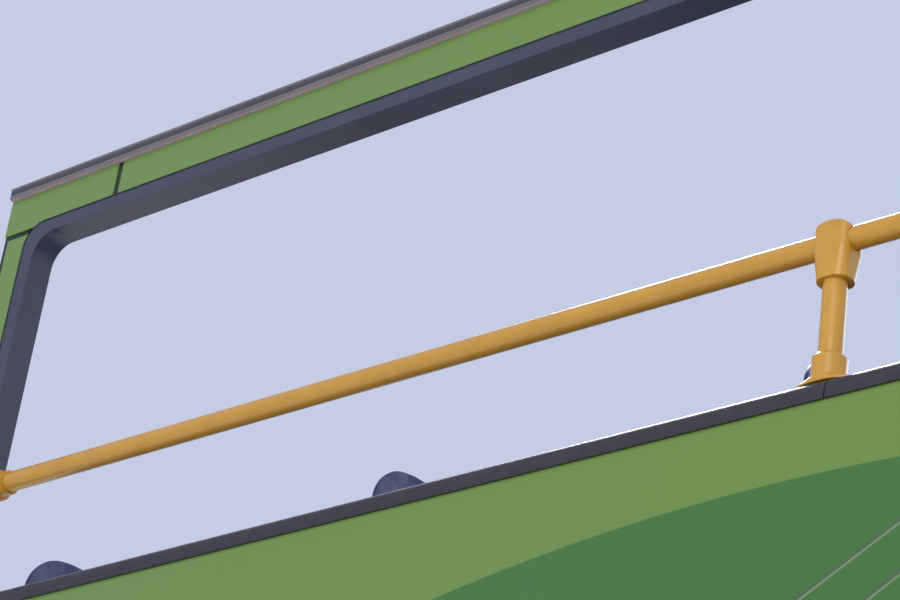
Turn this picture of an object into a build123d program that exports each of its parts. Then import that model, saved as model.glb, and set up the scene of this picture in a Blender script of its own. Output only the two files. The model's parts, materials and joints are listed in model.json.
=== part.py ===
from build123d import *
import os

os.makedirs("parts", exist_ok=True)

# Upper deck bay of an open top double decker bus, millimetres.
# X runs forward along the bus, Y to its left, Z up. The origin is on the underside of the deck,
# in the middle of the bay, where the section sits on the pillars of the lower deck.
SIDES = (("right", -1), ("left", 1))
ENDS = (("rear", -1), ("front", 1))

# Along the bus: the clear opening, then the dark frame, the painted pillar cover and a dark joint
half_opening = 1745.0
frame_face = 30.0
cover_width = 50.0
joint_strip = 12.0
cover_start = half_opening + frame_face
cover_end = cover_start + cover_width
half_length = cover_end + joint_strip

# Across the bus, measured from the centre line to the right and to the left alike
skin_outer = 1246.0
skin_thickness = 3.0
wall_depth = 71.0
lining_thickness = 4.0
frame_depth = 50.0
rail_setback = 38.0
lining_inner = skin_outer - wall_depth
rail_across = skin_outer - rail_setback
core_outer = skin_outer - skin_thickness
core_inner = lining_inner + lining_thickness
core_depth = core_outer - core_inner
core_centre = (core_outer + core_inner) / 2

# Deck: box sections across the bus, held between a box section along each side
edge_rail_height = 98.0
member_low = 6.0
member_height = 86.0
member_width = 50.0
member_end_inset = 30.0
member_count = 11
board_thickness = 15.0
covering_thickness = 3.0
member_top = member_low + member_height
board_top = member_top + board_thickness
floor_top = board_top + covering_thickness
bolt_radius = 8.5
bolt_depth = 40.0
bolt_spacing = 80.0
bolt_end_distance = 77.0
bolt_place = half_length - bolt_end_distance

# Side wall up to the waist
waist_top = 987.0
capping_crown = 25.0
capping_lip = 14.0
capping_overhang = 4.0
capping_inner_overhang = 6.0
capping_corner = 30.0
capping_joint_place = 24.0
capping_joint = 2.0
waist_rail_height = 40.0
stanchion_width = 60.0
drip_bead_height = 14.0
drip_bead_depth = 4.0
wall_top = waist_top - capping_crown
capping_outer = skin_outer + capping_overhang
capping_inner = lining_inner - capping_inner_overhang

# Window frame, painted panels round it, cant rail and gutter
header_low = 1707.0
header_face = 27.0
frame_corner = 45.0
panel_gap = 2.0
cover_joint = 12.0
cant_panel_drop = 5.0
cant_height = 72.0
seam_place = 1546.0
seam_width = 13.0
cant_low = header_low + header_face
cant_top = cant_low + cant_height
cant_panel_low = cant_low - cant_panel_drop
cover_top = cant_panel_low - cover_joint
cover_low = wall_top + cover_joint
gutter_reach = 9.0
gutter_lip_reach = 10.0
gutter_base = 6.0
gutter_fascia = 7.0
gutter_recess = 3.0
gutter_height = 22.0

# Handrail with its cast fittings
rail_radius = 17.5
rail_above_waist = 229.0
fit_gap = 0.3
rail_height = waist_top + rail_above_waist
socket_flange_radius = 28.0
socket_flange_thickness = 8.0
socket_collar_radius = 22.0
socket_collar_length = 26.0
socket_depth = 4.0
tee_foot_drop = 64.0
tee_foot_length = 52.0
tee_foot_width = 45.0
tee_foot_corner = 20.0
tee_shoulder_drop = 18.0
tee_length = 57.0
tee_width = 48.0
tee_corner = 12.0
tee_end_rise = 16.0
tee_middle_rise = 25.0
tee_web = 3.0
base_length = 108.0
base_width = 56.0
base_edge = 3.0
base_flare = 10.0
base_collar_radius = 25.0
base_collar_height = 35.0
base_chamfer = 4.0

# Seats in pairs, one pair each side of the aisle
seat_rows = 4
seat_pitch = 800.0
first_back_inset = 50.0
seat_width = 430.0
seat_gap = 10.0
seat_wall_gap = 20.0
seat_pan_underside = 520.0
seat_pan_length = 470.0
seat_back_top = 1130.0
seat_back_rake = 120.0
shell_wall = 6.0
shell_flank_width = 100.0
shell_flank_rise = 12.0
shell_corner = 130.0
shell_front_corner = 35.0
seat_bend = 70.0
seat_lip_reach = 12.0
seat_lip_drop = 24.0
pad_side_gap = 2.0
pad_bend_gap = 75.0
pad_front_gap = 16.0
pad_top_gap = 6.0
pad_slope = 25.0
cushion_thickness = 24.0
back_pad_thickness = 18.0
seat_tube = 30.0
front_tube_place = 470.0
rear_tube_place = 175.0
seat_leg_place = 410.0
seat_leg_thickness = 36.0
seat_foot_length = 260.0
seat_foot_width = 90.0
seat_foot_thickness = 8.0
seat_foot_corner = 18.0
seat_waist_width = 90.0
wall_plate_thickness = 8.0
wall_plate_height = 70.0
wall_plate_margin = 15.0
seat_outer = lining_inner - seat_wall_gap
seat_double = 2 * seat_width + seat_gap


def side_plane(y):
    """Plane facing the bus's right side at the given place across it."""
    return Plane.XZ.offset(-y)


def write(name, part):
    part.label = name
    export_step(part, f"parts/{name}.step")


# Deck edge rails: closed box sections, with two bolts from below at each pillar
for side_name, side in SIDES:
    with BuildPart() as edge_rail:
        with BuildSketch(Plane.YZ.offset(-half_length)):
            with Locations((side * core_centre, edge_rail_height / 2)):
                Rectangle(core_depth, edge_rail_height)
        extrude(amount=2 * half_length)
        with BuildSketch(Plane.XY):
            with Locations((-bolt_place, side * core_centre), (bolt_place, side * core_centre)):
                with GridLocations(bolt_spacing, 1, 2, 1):
                    Circle(bolt_radius)
        extrude(amount=bolt_depth, mode=Mode.SUBTRACT)
    write(f"deck_edge_rail_{side_name}", edge_rail.part)

# Cross members: closed box sections between the edge rails, evenly spaced
member_pitch = 2 * (half_length - member_end_inset) / (member_count - 1)
with BuildPart() as cross_members:
    with BuildSketch(Plane.XY.offset(member_low)):
        with GridLocations(member_pitch, 1, member_count, 1):
            Rectangle(member_width, 2 * core_inner)
    extrude(amount=member_height)
write("deck_cross_members", cross_members.part)

# Deck board and its covering
with BuildPart() as board:
    with BuildSketch(Plane.XY.offset(member_top)):
        Rectangle(2 * half_length, 2 * core_inner)
    extrude(amount=board_thickness)
write("deck_board", board.part)

with BuildPart() as covering:
    with BuildSketch(Plane.XY.offset(board_top)):
        Rectangle(2 * half_length, 2 * lining_inner)
    extrude(amount=covering_thickness)
write("floor_covering", covering.part)

for side_name, side in SIDES:
    # Outer skin
    with BuildPart() as skin:
        with BuildSketch(Plane.YZ.offset(-half_length)):
            with Locations((side * (skin_outer - skin_thickness / 2), wall_top / 2)):
                Rectangle(skin_thickness, wall_top)
        extrude(amount=2 * half_length)
    write(f"side_skin_{side_name}", skin.part)

    # Inner lining from the deck board to the waist
    with BuildPart() as lining:
        with BuildSketch(Plane.YZ.offset(-half_length)):
            with Locations((side * (lining_inner + lining_thickness / 2), (board_top + wall_top) / 2)):
                Rectangle(lining_thickness, wall_top - board_top)
        extrude(amount=2 * half_length)
    write(f"side_lining_{side_name}", lining.part)

    # Waist rail between the end pillars, carried in the middle by a stanchion below the post
    with BuildPart() as waist_rail:
        with BuildSketch(Plane.YZ.offset(-cover_start)):
            with Locations((side * core_centre, wall_top - waist_rail_height / 2)):
                Rectangle(core_depth, waist_rail_height)
        extrude(amount=2 * cover_start)
    write(f"waist_rail_{side_name}", waist_rail.part)

    stanchion_top = wall_top - waist_rail_height
    with BuildPart() as stanchion:
        with BuildSketch(Plane.XY.offset(edge_rail_height)):
            with Locations((0, side * core_centre)):
                Rectangle(stanchion_width, core_depth)
        extrude(amount=stanchion_top - edge_rail_height)
    write(f"wall_stanchion_{side_name}", stanchion.part)

    # Capping in two lengths: section with rounded shoulders that laps over the skin and the lining
    lip_low = wall_top - capping_lip
    capping_lengths = (
        (-half_opening, capping_joint_place - capping_joint / 2),
        (capping_joint_place + capping_joint / 2, half_opening),
    )
    with BuildPart() as capping:
        for start, stop in capping_lengths:
            with BuildSketch(Plane.YZ.offset(start)) as capping_section:
                with Locations((side * (capping_outer + capping_inner) / 2, (lip_low + waist_top) / 2)):
                    Rectangle(capping_outer - capping_inner, waist_top - lip_low)
                fillet(capping_section.vertices().group_by(Axis.Y)[-1], capping_corner)
                with Locations((side * (skin_outer + lining_inner) / 2, (lip_low + wall_top) / 2)):
                    Rectangle(wall_depth, capping_lip, mode=Mode.SUBTRACT)
            extrude(amount=stop - start)
    write(f"waist_capping_{side_name}", capping.part)

    # End pillars, from the deck edge rail to the cant rail
    for end_name, end in ENDS:
        with BuildPart() as pillar:
            with BuildSketch(Plane.XY.offset(edge_rail_height)):
                with Locations((end * (cover_start + half_length) / 2, side * core_centre)):
                    Rectangle(half_length - cover_start, core_depth)
            extrude(amount=cant_low - edge_rail_height)
        write(f"pillar_{end_name}_{side_name}", pillar.part)

    # Dark window frame with rounded corners, standing on the waist rail
    frame_plane = side_plane(side * skin_outer)
    with BuildPart() as frame:
        with BuildSketch(frame_plane) as frame_outer:
            with Locations((0, (wall_top + cant_low) / 2)):
                Rectangle(2 * cover_start, cant_low - wall_top)
            fillet(frame_outer.vertices().group_by(Axis.Y)[-1], frame_corner)
        extrude(amount=side * frame_depth)
        with BuildSketch(frame_plane) as frame_inner:
            with Locations((0, (wall_top + header_low) / 2)):
                Rectangle(2 * half_opening, header_low - wall_top)
            fillet(frame_inner.vertices().group_by(Axis.Y)[-1], frame_corner)
        extrude(amount=side * frame_depth, mode=Mode.SUBTRACT)
    write(f"window_frame_{side_name}", frame.part)

    # Cant rail and the painted panels on it and on the pillars, cut back from the frame by a joint
    with BuildPart() as cant_rail:
        with BuildSketch(Plane.YZ.offset(-half_length)):
            with Locations((side * core_centre, (cant_low + cant_top) / 2)):
                Rectangle(core_depth, cant_height)
        extrude(amount=2 * half_length)
    write(f"cant_rail_{side_name}", cant_rail.part)

    with BuildPart() as frame_clearance:
        with BuildSketch(frame_plane) as clearance:
            with Locations((0, (wall_top + cant_low) / 2)):
                Rectangle(2 * (cover_start + panel_gap), cant_low - wall_top + 2 * panel_gap)
            fillet(clearance.vertices().group_by(Axis.Y)[-1], frame_corner + panel_gap)
        extrude(amount=side * skin_thickness)

    seam_low = seam_place - seam_width / 2
    seam_high = seam_place + seam_width / 2
    # start and end along the bus, low and high edge
    panels = (
        (-half_length, -seam_high, cant_panel_low, cant_top),
        (-seam_low, seam_low, cant_panel_low, cant_top),
        (seam_high, half_length, cant_panel_low, cant_top),
        (-cover_end, -half_opening, cover_low, cover_top),
        (half_opening, cover_end, cover_low, cover_top),
    )
    with BuildPart() as upper_panels:
        with BuildSketch(frame_plane):
            for start, stop, low, high in panels:
                with Locations(((start + stop) / 2, (low + high) / 2)):
                    Rectangle(stop - start, high - low)
        extrude(amount=side * skin_thickness)
        add(frame_clearance.part, mode=Mode.SUBTRACT)
    write(f"upper_panels_{side_name}", upper_panels.part)

    # Gutter along the top edge
    gutter_outer = skin_outer + gutter_reach
    gutter_lip = skin_outer + gutter_lip_reach
    gutter_top = cant_top + gutter_height
    with BuildPart() as gutter:
        with BuildSketch(Plane.YZ.offset(-half_length)):
            with BuildLine():
                Polyline(
                    (side * core_inner, cant_top),
                    (side * gutter_outer, cant_top),
                    (side * gutter_outer, cant_top + gutter_fascia),
                    (side * (gutter_outer - gutter_recess), cant_top + gutter_fascia + gutter_recess),
                    (side * (gutter_outer - gutter_recess), gutter_top - 2 * gutter_recess),
                    (side * gutter_lip, gutter_top - gutter_recess),
                    (side * gutter_lip, gutter_top),
                    (side * skin_outer, gutter_top),
                    (side * skin_outer, cant_top + gutter_base),
                    (side * core_inner, cant_top + gutter_base),
                    close=True,
                )
            make_face()
        extrude(amount=2 * half_length)
    write(f"gutter_{side_name}", gutter.part)

    # Handrail tube between the sockets on the window frame's legs
    rail_line = side * rail_across
    rail_half = half_opening - socket_depth - fit_gap
    with BuildPart() as handrail:
        with BuildSketch(Plane.YZ.offset(-rail_half)):
            with Locations((rail_line, rail_height)):
                Circle(rail_radius)
        extrude(amount=2 * rail_half)
    write(f"handrail_{side_name}", handrail.part)

# Drip bead along the lower edge of each skin
with BuildPart() as drip_beads:
    with BuildSketch(Plane.YZ.offset(-half_length)):
        with BuildLine():
            ThreePointArc(
                (-skin_outer, drip_bead_height),
                (-skin_outer - drip_bead_depth, drip_bead_height / 2),
                (-skin_outer, 0),
            )
            Line((-skin_outer, 0), (-skin_outer, drip_bead_height))
        make_face()
    extrude(amount=2 * half_length)
    mirror(about=Plane.XZ)
write("drip_beads", drip_beads.part)

# Stepped end sockets: a flange on the frame, then a collar round the tube
with BuildPart() as sockets:
    for end_name, end in ENDS:
        with BuildSketch(Plane.YZ.offset(end * half_opening)):
            with Locations((-rail_across, rail_height)):
                Circle(socket_flange_radius)
        extrude(amount=-end * socket_flange_thickness)
        with BuildSketch(Plane.YZ.offset(end * (half_opening - socket_flange_thickness))):
            with Locations((-rail_across, rail_height)):
                Circle(socket_collar_radius)
        extrude(amount=-end * socket_collar_length)
        with BuildSketch(Plane.YZ.offset(end * (half_opening - socket_depth))):
            with Locations((-rail_across, rail_height)):
                Circle(rail_radius + fit_gap)
        extrude(amount=-end * (socket_flange_thickness + socket_collar_length), mode=Mode.SUBTRACT)
    mirror(about=Plane.XZ)
write("handrail_sockets", sockets.part)

# Cast tee: a rounded block with a crowned top round the rail, blended down to a rounder foot on the post
tee_foot = rail_height - tee_foot_drop
tee_shoulder = rail_height - tee_shoulder_drop
tee_top = rail_height + tee_middle_rise
with BuildPart() as tees:
    with BuildSketch(Plane.XY.offset(tee_foot)):
        with Locations((0, -rail_across)):
            RectangleRounded(tee_foot_length, tee_foot_width, tee_foot_corner)
    with BuildSketch(Plane.XY.offset(tee_shoulder)):
        with Locations((0, -rail_across)):
            RectangleRounded(tee_length, tee_width, tee_corner)
    loft(ruled=True)
    with BuildSketch(Plane.XY.offset(tee_shoulder)):
        with Locations((0, -rail_across)):
            RectangleRounded(tee_length, tee_width, tee_corner)
    extrude(amount=tee_top - tee_shoulder)
    with BuildSketch(side_plane(-rail_across + tee_width / 2)):
        with BuildLine():
            ThreePointArc(
                (-tee_length / 2, rail_height + tee_end_rise),
                (0, tee_top),
                (tee_length / 2, rail_height + tee_end_rise),
            )
            Polyline(
                (tee_length / 2, rail_height + tee_end_rise),
                (tee_length / 2, tee_foot),
                (-tee_length / 2, tee_foot),
                (-tee_length / 2, rail_height + tee_end_rise),
            )
        make_face()
    extrude(amount=tee_width, mode=Mode.INTERSECT)
    with BuildSketch(Plane.YZ.offset(-tee_length / 2)):
        with Locations((-rail_across, rail_height)):
            Circle(rail_radius + fit_gap)
    extrude(amount=tee_length, mode=Mode.SUBTRACT)
    with BuildSketch(Plane.XY.offset(tee_foot)):
        with Locations((0, -rail_across)):
            Circle(rail_radius + fit_gap)
    extrude(amount=tee_foot_drop - rail_radius - fit_gap - tee_web, mode=Mode.SUBTRACT)
    mirror(about=Plane.XZ)
write("handrail_tees", tees.part)

# Post and its base, which flares to a thin edge and is screwed to the capping
base_top = waist_top + base_edge + base_flare
post_top = rail_height - rail_radius - 2 * fit_gap - tee_web
with BuildPart() as posts:
    with BuildSketch(Plane.XY.offset(base_top)):
        with Locations((0, -rail_across)):
            Circle(rail_radius)
    extrude(amount=post_top - base_top)
    mirror(about=Plane.XZ)
write("handrail_posts", posts.part)

with BuildPart() as post_bases:
    with BuildSketch(Plane.XY.offset(waist_top)):
        with Locations((0, -rail_across)):
            Ellipse(base_length / 2, base_width / 2)
    extrude(amount=base_edge)
    with BuildSketch(Plane.XY.offset(waist_top + base_edge)):
        with Locations((0, -rail_across)):
            Ellipse(base_length / 2, base_width / 2)
    with BuildSketch(Plane.XY.offset(base_top)):
        with Locations((0, -rail_across)):
            Circle(base_collar_radius)
    loft()
    with BuildSketch(Plane.XY.offset(base_top)):
        with Locations((0, -rail_across)):
            Circle(base_collar_radius)
    extrude(amount=base_collar_height)
    chamfer(post_bases.edges().group_by(Axis.Z)[-1], base_chamfer)
    with BuildSketch(Plane.XY.offset(base_top)):
        with Locations((0, -rail_across)):
            Circle(rail_radius + fit_gap)
    extrude(amount=base_collar_height, mode=Mode.SUBTRACT)
    mirror(about=Plane.XZ)
write("post_bases", post_bases.part)

# Seat shell: a hat section swept from the folded front lip along the pan, round the bend and up the back
shell_depth = shell_wall + shell_flank_rise
shell_half = seat_width / 2
insert_half = shell_half - shell_flank_width
pan_front = seat_back_rake + seat_pan_length
back_foot = seat_back_rake - shell_depth
back_rise = seat_back_top - seat_pan_underside
pan_plane = Plane(origin=(back_foot, 0, seat_pan_underside), x_dir=(0, -1, 0), z_dir=(0, 0, 1))
back_plane = Plane(origin=pan_plane.origin, x_dir=(0, 1, 0), z_dir=(back_rise, 0, seat_back_rake))
back_length = Vector(seat_back_rake, back_rise).length
pan_length = pan_front - back_foot
with BuildPart() as seat_shell:
    with BuildLine(Plane.XZ) as seat_line:
        Line((pan_front + seat_lip_reach, seat_pan_underside - seat_lip_drop), (pan_front, seat_pan_underside))
        FilletPolyline(
            (pan_front, seat_pan_underside),
            (back_foot, seat_pan_underside),
            (-shell_depth, seat_back_top),
            radius=seat_bend,
        )
    with BuildSketch(Plane(origin=seat_line.line @ 0, x_dir=(0, -1, 0), z_dir=seat_line.line % 0)):
        with BuildLine():
            Polyline(
                (-shell_half, shell_flank_rise),
                (-insert_half, 0),
                (insert_half, 0),
                (shell_half, shell_flank_rise),
                (shell_half, shell_depth),
                (insert_half, shell_wall),
                (-insert_half, shell_wall),
                (-shell_half, shell_depth),
                close=True,
            )
        make_face()
    sweep(transition=Transition.RIGHT)
    # Rounded top corners of the back
    with BuildSketch(back_plane.offset(-shell_depth)) as back_outline:
        Rectangle(seat_width, 2 * back_length)
        fillet(back_outline.vertices().group_by(Axis.Y)[-1], shell_corner)
    extrude(amount=2 * pan_front, mode=Mode.INTERSECT)
    # Cut front corners of the pan
    with BuildSketch(Plane.XY) as pan_outline:
        Rectangle(2 * (pan_front + seat_lip_reach + shell_depth), seat_width)
        chamfer(pan_outline.vertices().group_by(Axis.X)[-1], shell_front_corner)
    extrude(amount=2 * seat_back_top, mode=Mode.INTERSECT)

# Cushion on the pan and pad on the back, with sloping sides
with BuildPart() as seat_pads:
    # plane, start and end along it, thickness
    pads = (
        (pan_plane, pad_bend_gap, pan_length - pad_front_gap, cushion_thickness),
        (back_plane, pad_bend_gap, back_length - pad_top_gap, back_pad_thickness),
    )
    for plane, start, stop, thickness in pads:
        with BuildSketch(plane.offset(shell_wall + fit_gap)):
            with Locations((0, (start + stop) / 2)):
                Rectangle(2 * (insert_half - pad_side_gap), stop - start)
        extrude(amount=thickness, taper=pad_slope)

# Seat frame for a pair: two cross tubes held by a wall plate, and a cast leg with waisted sides
tube_low = seat_pan_underside - seat_tube
tube_line = seat_pan_underside - seat_tube / 2
tube_middle = (rear_tube_place + front_tube_place) / 2
tube_inner = seat_outer - seat_double + 2 * seat_gap
leg_half = (front_tube_place - rear_tube_place + seat_tube) / 2
leg_low = floor_top + seat_foot_thickness
leg_waist = (leg_low + tube_low) / 2
with BuildPart() as seat_frame:
    with BuildSketch(side_plane(-lining_inner)):
        with Locations((rear_tube_place, tube_line), (front_tube_place, tube_line)):
            Rectangle(seat_tube, seat_tube)
    extrude(amount=tube_inner - lining_inner)
    with BuildSketch(side_plane(-lining_inner)):
        with Locations((tube_middle, seat_pan_underside - wall_plate_height / 2)):
            Rectangle(2 * (leg_half + wall_plate_margin), wall_plate_height)
    extrude(amount=-wall_plate_thickness)
    mirror(about=Plane.XZ)

with BuildPart() as seat_leg:
    with BuildSketch(side_plane(seat_leg_thickness / 2)):
        with BuildLine():
            Line((tube_middle - leg_half, tube_low), (tube_middle + leg_half, tube_low))
            ThreePointArc(
                (tube_middle + leg_half, tube_low),
                (tube_middle + seat_waist_width / 2, leg_waist),
                (tube_middle + seat_foot_length / 2, leg_low),
            )
            Line(
                (tube_middle + seat_foot_length / 2, leg_low),
                (tube_middle - seat_foot_length / 2, leg_low),
            )
            ThreePointArc(
                (tube_middle - seat_foot_length / 2, leg_low),
                (tube_middle - seat_waist_width / 2, leg_waist),
                (tube_middle - leg_half, tube_low),
            )
        make_face()
    extrude(amount=seat_leg_thickness)
    with BuildSketch(Plane.XY.offset(floor_top)) as foot:
        with Locations((tube_middle, 0)):
            Rectangle(seat_foot_length, seat_foot_width)
        chamfer(foot.vertices(), seat_foot_corner)
    extrude(amount=seat_foot_thickness)

seat_lines = [
    side * (seat_outer - seat_width / 2 - place * (seat_width + seat_gap))
    for side_name, side in SIDES
    for place in range(2)
]
row_places = [first_back_inset - half_opening + row * seat_pitch for row in range(seat_rows)]
for row, row_place in enumerate(row_places):
    with BuildPart() as row_shells:
        with Locations(*[(row_place, line, 0) for line in seat_lines]):
            add(seat_shell.part)
    write(f"seat_shells_row_{row + 1}", row_shells.part)

    with BuildPart() as row_pads:
        with Locations(*[(row_place, line, 0) for line in seat_lines]):
            add(seat_pads.part)
    write(f"seat_pads_row_{row + 1}", row_pads.part)

    with BuildPart() as row_frames:
        with Locations((row_place, 0, 0)):
            add(seat_frame.part)
    write(f"seat_frames_row_{row + 1}", row_frames.part)

for side_name, side in SIDES:
    with BuildPart() as side_legs:
        with Locations(*[(place, side * seat_leg_place, 0) for place in row_places]):
            add(seat_leg.part)
    write(f"seat_legs_{side_name}", side_legs.part)
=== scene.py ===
import json
from functools import partial
from math import cos, radians, sin

import bmesh
import bpy
from bpy.props import FloatProperty, FloatVectorProperty, PointerProperty
from mathutils import Matrix, Vector
from mathutils.bvhtree import BVHTree


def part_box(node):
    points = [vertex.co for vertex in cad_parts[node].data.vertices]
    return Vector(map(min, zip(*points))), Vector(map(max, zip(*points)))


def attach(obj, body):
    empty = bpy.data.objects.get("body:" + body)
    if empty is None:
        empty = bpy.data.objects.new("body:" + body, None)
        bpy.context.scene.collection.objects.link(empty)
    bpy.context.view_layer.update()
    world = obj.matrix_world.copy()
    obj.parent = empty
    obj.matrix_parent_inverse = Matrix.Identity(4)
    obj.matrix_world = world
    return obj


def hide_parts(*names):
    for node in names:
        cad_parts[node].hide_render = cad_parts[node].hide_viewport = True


bl_info = {
    "name": "Open top bus deck bay",
    "version": (1, 0, 0),
    "blender": (4, 5, 0),
    "location": "3D View > Sidebar > Deck bay",
    "description": "Finishes, seat pads, seals and fasteners for one upper deck bay of an open top bus",
    "category": "Object",
}

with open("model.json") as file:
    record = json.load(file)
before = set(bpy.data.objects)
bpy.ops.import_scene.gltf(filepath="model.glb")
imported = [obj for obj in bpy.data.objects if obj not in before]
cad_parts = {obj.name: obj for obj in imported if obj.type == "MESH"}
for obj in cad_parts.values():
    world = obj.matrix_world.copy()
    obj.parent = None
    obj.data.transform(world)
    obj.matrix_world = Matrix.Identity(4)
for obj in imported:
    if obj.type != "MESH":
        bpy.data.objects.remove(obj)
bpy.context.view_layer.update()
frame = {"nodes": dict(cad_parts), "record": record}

# right and left, rear and front
SIDES = (-1, 1)
ENDS = (-1, 1)


def linear(code):
    """Linear colour of an sRGB hex value."""
    parts = [int(code[start:start + 2], 16) / 255 for start in (1, 3, 5)]
    return [part / 12.92 if part <= 0.04045 else ((part + 0.055) / 1.055) ** 2.4 for part in parts]


def paint(name, description, code):
    """Colour property with its default given as an sRGB hex value."""
    return FloatVectorProperty(
        name=name, description=description, subtype="COLOR", min=0, max=1, default=linear(code)
    )


def length(name, description, default):
    """Length property in metres."""
    return FloatProperty(name=name, description=description, subtype="DISTANCE", min=0, default=default)


def strength(name, description, default):
    """Property for how strong a light is."""
    return FloatProperty(name=name, description=description, min=0, default=default)


# Places that several pieces share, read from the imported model, in metres
skin_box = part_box("side_skin_right")
frame_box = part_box("window_frame_right")
capping_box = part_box("waist_capping_right")
gutter_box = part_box("gutter_right")
rail_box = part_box("handrail_right")
plate_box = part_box("seat_frames_row_1")
floor_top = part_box("floor_covering")[1].z
half_length = skin_box[1].x
skin_outer = -skin_box[0].y
lining_inner = -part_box("side_lining_right")[1].y
rail_line = -(rail_box[0].y + rail_box[1].y) / 2
rail_height = (rail_box[0].z + rail_box[1].z) / 2

# Places inside nodes, repeated from the part's source, in metres: the seats' rows and lines, the back
# rest, the pads, the shells, the cross tubes, the legs, the frame's corner and the gap round it
ROW_PLACES = (-1.695, -0.895, -0.095, 0.705)
SEAT_LINES = (0.94, 0.5)
BACK_ALONG = Vector((-0.19302, 0, 0.98119))
BACK_OUT = Vector((0.98119, 0, 0.19302))
BACK_FOOT = Vector((0.102, 0, 0.52))
PAD_HALF_WIDTH = 0.113
EDGE_ROOM = 0.003
SHELL_WALL = 0.0063
TUBE_PLACES = (0.175, 0.47)
TUBE_HALF = 0.015
TUBE_LINE = 0.505
TUBE_END = 0.305
FOOT_MIDDLE = 0.3225
LEG_LINE = 0.41
FOOT_TOP = 0.118
FRAME_CORNER = 0.045
PANEL_GAP = 0.002
# the back pad's middle, this far up the rest and on the shell's face
PAD_LINE = 0.3454
BACK_MIDDLE = BACK_FOOT + PAD_LINE * BACK_ALONG + SHELL_WALL * BACK_OUT
# name, middle of the underside, way along, way out of the seat, half length, thickness,
# and the sewn channels across it as shares of its length
PADS = (
    ("cushion", Vector((0.3755, 0, 0.5263)), Vector((1, 0, 0)), Vector((0, 0, 1)), 0.1985, 0.024, (0.6,)),
    ("back_pad", BACK_MIDDLE, BACK_ALONG, BACK_OUT, 0.2704, 0.018, (0.36, 0.7)),
)


class DeckBayColours(bpy.types.PropertyGroup):
    """Colours of the bay's finishes."""

    light_green: paint("Light green", "Upper colour of the side panels", "#6a8f3a")
    dark_green: paint("Dark green", "Colour of the panels inside the sweep", "#377228")
    stripe_green: paint("Stripe", "Thin lines that climb towards the sweep", "#76906a")
    stripe_grey: paint("Stripe shade", "Grey green band along the upper edge of each line", "#486144")
    amber: paint("Amber", "Powder coat on the handrails", "#d09a31")
    capping: paint("Capping", "Rubber capping on the side walls", "#302e38")
    anthracite: paint("Anthracite", "Powder coat on the window frames", "#383d51")
    # painted reflection: the aluminium's warm pink tint stands in for warm light reflected under the gutters
    aluminium: paint("Aluminium", "Gutters, rivets and trims", "#968b8c")
    shell_blue: paint("Seat shell", "Moulded seat shells", "#27326a")
    pad_blue: paint("Seat pad", "Vinyl on the cushions and back pads", "#202a5e")
    thread: paint("Thread", "Stitches on the pads", "#6f7ba6")
    plywood: paint("Plywood", "Deck board", "#b48d5b")
    floor_grey: paint("Floor", "Safety vinyl on the deck", "#55585c")
    lining_grey: paint("Lining", "Laminate inside the side walls", "#cfd1ce")
    chassis: paint("Chassis", "Enamel on the deck and wall frames", "#24282e")
    seat_metal: paint("Seat metal", "Textured coat on the seat frames and legs", "#484b51")
    rubber: paint("Rubber", "Window seals and tube plugs", "#212226")
    # painted light: the sealant's pale warm grey stands in for light on the gutter's shaded underside
    sealant: paint("Sealant", "Bead under each gutter", "#a8949c")
    zinc: paint("Zinc", "Plated bolts and screws", "#b9b6a8")
    floor_stage: paint("Stage floor", "Pale floor under the object", "#dfe1e4")
    backdrop: paint("Backdrop", "Pale surroundings that the camera sees", "#c5cde4")


class DeckBaySizes(bpy.types.PropertyGroup):
    """Sizes of the pieces that are made here."""

    welt_radius: length("Welt radius", "Radius of the piping round each seat pad", 0.0024)
    pad_cell: length("Pad mesh cell", "Spacing of a pad's mesh before it is smoothed", 0.0125)
    pad_swell: length("Pad swell", "Most that a point of a pad may move as it fills", 0.0075)
    thread_radius: length("Thread radius", "Radius of the thread, drawn a little coarser to show", 0.0006)
    stitch_pitch: length("Stitch pitch", "Distance from one stitch to the next", 0.0058)
    stitch_inset: length("Stitch inset", "Distance of the stitches from a pad's edge", 0.014)
    seal_radius: length("Seal radius", "Radius of the bead round each window frame", 0.003)
    rivet_pitch: length("Rivet pitch", "Distance between the rivets along a skin's lower edge", 0.12)
    rivet_radius: length("Rivet radius", "Radius of a dome rivet", 0.0042)
    bolt_radius: length("Bolt radius", "Corner radius of a hexagon bolt head", 0.0072)
    screw_radius: length("Screw radius", "Radius of a screw head", 0.0042)
    cove_radius: length("Cove radius", "Radius of the floor's coved edge", 0.022)
    fleck_size: length("Fleck size", "Quartz flecks in the floor, drawn coarser than real to show", 0.004)


class DeckBayStage(bpy.types.PropertyGroup):
    """Floor and light round the object."""

    floor_height: FloatProperty(
        name="Floor height", description="Height of the stage floor", subtype="DISTANCE", default=-0.9
    )
    floor_size: length("Floor size", "Side of the square stage floor", 80.0)
    ambient: strength("Ambient", "Strength of the even light", 0.74)
    front_power: strength("Front light", "Watts of the light in front", 76)
    rim_power: strength("Rim light", "Watts of the light behind", 250)
    back_power: strength("Back light", "Watts of the far light", 76)


# spacing of the nodes in the node editor, in its own units
NODE_STEP = 180


def set_inputs(node, inputs):
    """Sets a node's inputs, colours from hex values too, or links them to sockets or first live outputs."""
    for name, value in inputs.items():
        socket = node.inputs[name]
        if isinstance(value, bpy.types.Node):
            value = next(output for output in value.outputs if output.enabled)
        if isinstance(value, bpy.types.NodeSocket):
            node.id_data.links.new(value, socket)
        elif socket.type == "RGBA":
            socket.default_value = (*(linear(value) if isinstance(value, str) else value), 1)
        else:
            socket.default_value = value


def add_node(tree, kind, inputs=None, **settings):
    """Adds a node beside the last one, with its settings and inputs."""
    node = tree.nodes.new(kind)
    node.location = (NODE_STEP * len(tree.nodes), 0)
    for name, value in settings.items():
        setattr(node, name, value)
    set_inputs(node, inputs or {})
    return node


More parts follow.
